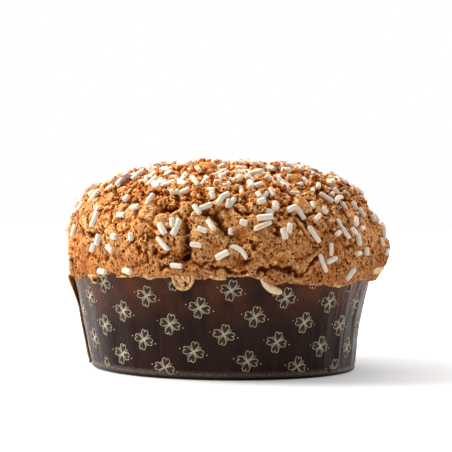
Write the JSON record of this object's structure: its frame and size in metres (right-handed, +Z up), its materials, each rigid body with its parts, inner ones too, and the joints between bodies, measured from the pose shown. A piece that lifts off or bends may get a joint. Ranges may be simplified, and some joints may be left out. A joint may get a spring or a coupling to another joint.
{
  "type": "panettone",
  "caption": "Low domed sweet loaf with a cracked glazed crust, sugar nibs and almonds, in a flared round paper baking mould.",
  "frame": {"origin": "centre of the paper mould's flat foot, on the surface that it stands on", "axes": "+Z up through the dome's top, -Y towards the side that the picture shows, +X to its right"},
  "size_m": [0.2249, 0.2212, 0.1446],
  "materials": {
    "paper": "satin",
    "crust": "matte",
    "almond_skin": "satin",
    "almond_glazed": "satin",
    "sugar": "matte",
    "glaze": "satin",
    "print": "satin"
  },
  "bodies": {
    "root": {"paper_mould": "paper", "bread": "crust", "almond_left": "almond_skin", "almond_top": "almond_glazed", "almond_right": "almond_glazed", "almond_back": "almond_glazed", "almond_back_left": "almond_skin"}
  },
  "joints": []
}
